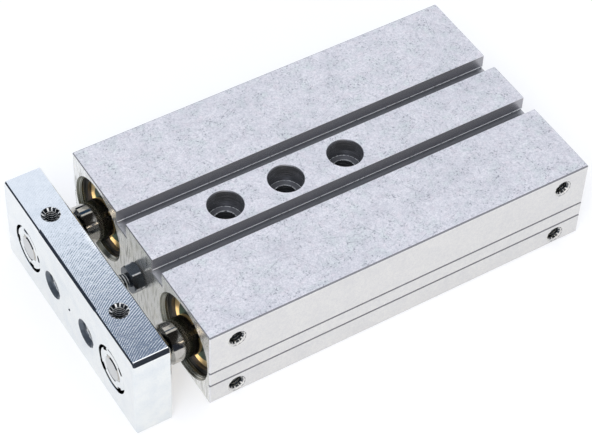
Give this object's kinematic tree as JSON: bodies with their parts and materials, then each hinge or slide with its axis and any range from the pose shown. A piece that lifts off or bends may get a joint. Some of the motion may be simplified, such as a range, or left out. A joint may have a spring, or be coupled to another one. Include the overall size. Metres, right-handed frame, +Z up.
{
  "type": "double piston cylinder",
  "caption": "Flat pneumatic actuator: parallel pistons in a slotted aluminium housing push a tapped yoke plate, with an adjustable stop screw.",
  "frame": {"origin": "on the base face, on the axis of the middle mounting hole", "axes": "+X the way the rods extend, +Y towards the long side with the ports, +Z up from the base"},
  "size_m": [0.1488, 0.0792, 0.0303],
  "materials": {
    "extruded_aluminium": "clear anodised, satin",
    "bare_aluminium": "turned",
    "zinc_plated_steel": "milled and zinc plated",
    "dark_steel": "oiled",
    "hard_chromed_steel": "ground and polished",
    "brass": "turned",
    "sintered_bronze": "sintered",
    "phosphated_spring_steel": "phosphated",
    "polyurethane": "moulded",
    "nitrile_rubber": "moulded",
    "guide_polymer": "matt",
    "bonded_magnet": "matt"
  },
  "bodies": {
    "cylinder": {"housing": "extruded_aluminium", "passage_plugs": "dark_steel", "bearing_cap_left": "brass", "bearing_cap_right": "brass", "rod_seal_left": "polyurethane", "rod_seal_right": "polyurethane", "rod_bushing_left": "sintered_bronze", "rod_bushing_right": "sintered_bronze", "front_o_ring_left": "nitrile_rubber", "front_o_ring_right": "nitrile_rubber", "front_circlip_left": "phosphated_spring_steel", "front_circlip_right": "phosphated_spring_steel", "front_cushion_left": "polyurethane", "front_cushion_right": "polyurethane", "rear_cap_left": "bare_aluminium", "rear_cap_right": "bare_aluminium", "rear_o_ring_left": "nitrile_rubber", "rear_o_ring_right": "nitrile_rubber", "rear_circlip_left": "phosphated_spring_steel", "rear_circlip_right": "phosphated_spring_steel", "rear_cushion_left": "polyurethane", "rear_cushion_right": "polyurethane"},
    "carriage": {"yoke_plate": "zinc_plated_steel", "stop_lock_nut": "zinc_plated_steel", "piston_rod_left": "hard_chromed_steel", "piston_rod_right": "hard_chromed_steel", "rod_end_washer_left": "zinc_plated_steel", "rod_end_washer_right": "zinc_plated_steel", "piston_left": "bare_aluminium", "piston_right": "bare_aluminium", "piston_seals_left": "nitrile_rubber", "piston_seals_right": "nitrile_rubber", "piston_guide_ring_left": "guide_polymer", "piston_guide_ring_right": "guide_polymer", "piston_magnet_left": "bonded_magnet", "piston_magnet_right": "bonded_magnet", "piston_nut_left": "zinc_plated_steel", "piston_nut_right": "zinc_plated_steel"},
    "stop_screw": {"stop_screw": "dark_steel"}
  },
  "joints": [
    {"name": "rod_slide", "type": "slide", "parent": "cylinder", "child": "carriage", "axis": [1, 0, 0], "range_m": [0, 0.05]},
    {"name": "stop_adjust", "type": "slide", "parent": "carriage", "child": "stop_screw", "axis": [1, 0, 0], "range_m": [0, 0.004]}
  ]
}
